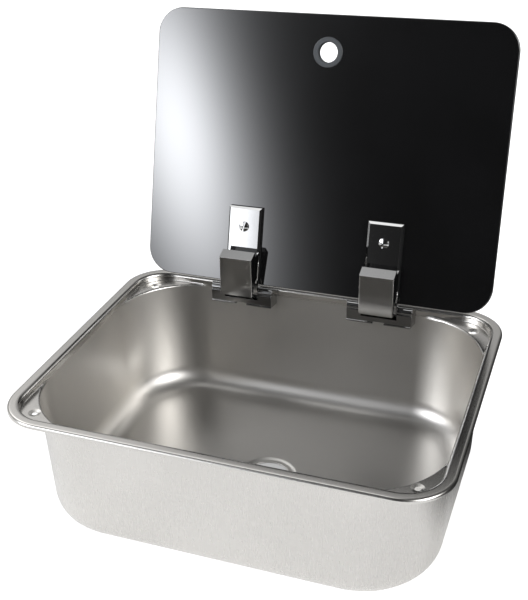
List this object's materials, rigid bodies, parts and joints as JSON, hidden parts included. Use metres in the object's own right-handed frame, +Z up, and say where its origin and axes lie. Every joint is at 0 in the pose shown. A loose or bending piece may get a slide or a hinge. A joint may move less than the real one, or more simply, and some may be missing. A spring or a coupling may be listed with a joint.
{
  "type": "caravan sink with hinged glass lid",
  "caption": "Rectangular pressed-steel inset sink bowl with a rolled flange and a hinged dark glass lid with a finger hole, open on its stop.",
  "frame": {"origin": "centre of the rim, on the flat top of the flange", "axes": "+Z up out of the bowl, +Y towards the hinges, +X to the user's right"},
  "size_m": [0.4, 0.3779, 0.4064],
  "materials": {
    "steel": "satin brushed stainless steel",
    "chrome": "polished chrome",
    "glass": "black back-printed tempered glass, glossy",
    "rubber": "black rubber",
    "nylon": "natural nylon",
    "trim": "dark grey plastic"
  },
  "bodies": {
    "basin": {"basin": "steel", "fixing_screws": "steel", "left_hinge_base": "chrome", "left_hinge_pin": "steel", "left_backing_plate": "steel", "right_hinge_base": "chrome", "right_hinge_pin": "steel", "right_backing_plate": "steel"},
    "lid": {"glass_lid": "glass", "grommet_front": "trim", "grommet_rear": "trim", "clamp_screws": "chrome", "left_hinge_arm": "chrome", "left_pin_bush": "nylon", "left_front_pad": "rubber", "left_rear_pad": "rubber", "left_rear_clamp": "chrome", "left_glass_bush": "nylon", "right_hinge_arm": "chrome", "right_pin_bush": "nylon", "right_front_pad": "rubber", "right_rear_pad": "rubber", "right_rear_clamp": "chrome", "right_glass_bush": "nylon"}
  },
  "joints": [
    {"name": "lid_hinge", "type": "hinge", "parent": "basin", "child": "lid", "pos_m": [0, 0.1409, -0.0031], "axis": [1, 0, 0], "range_deg": [0, 105]}
  ]
}
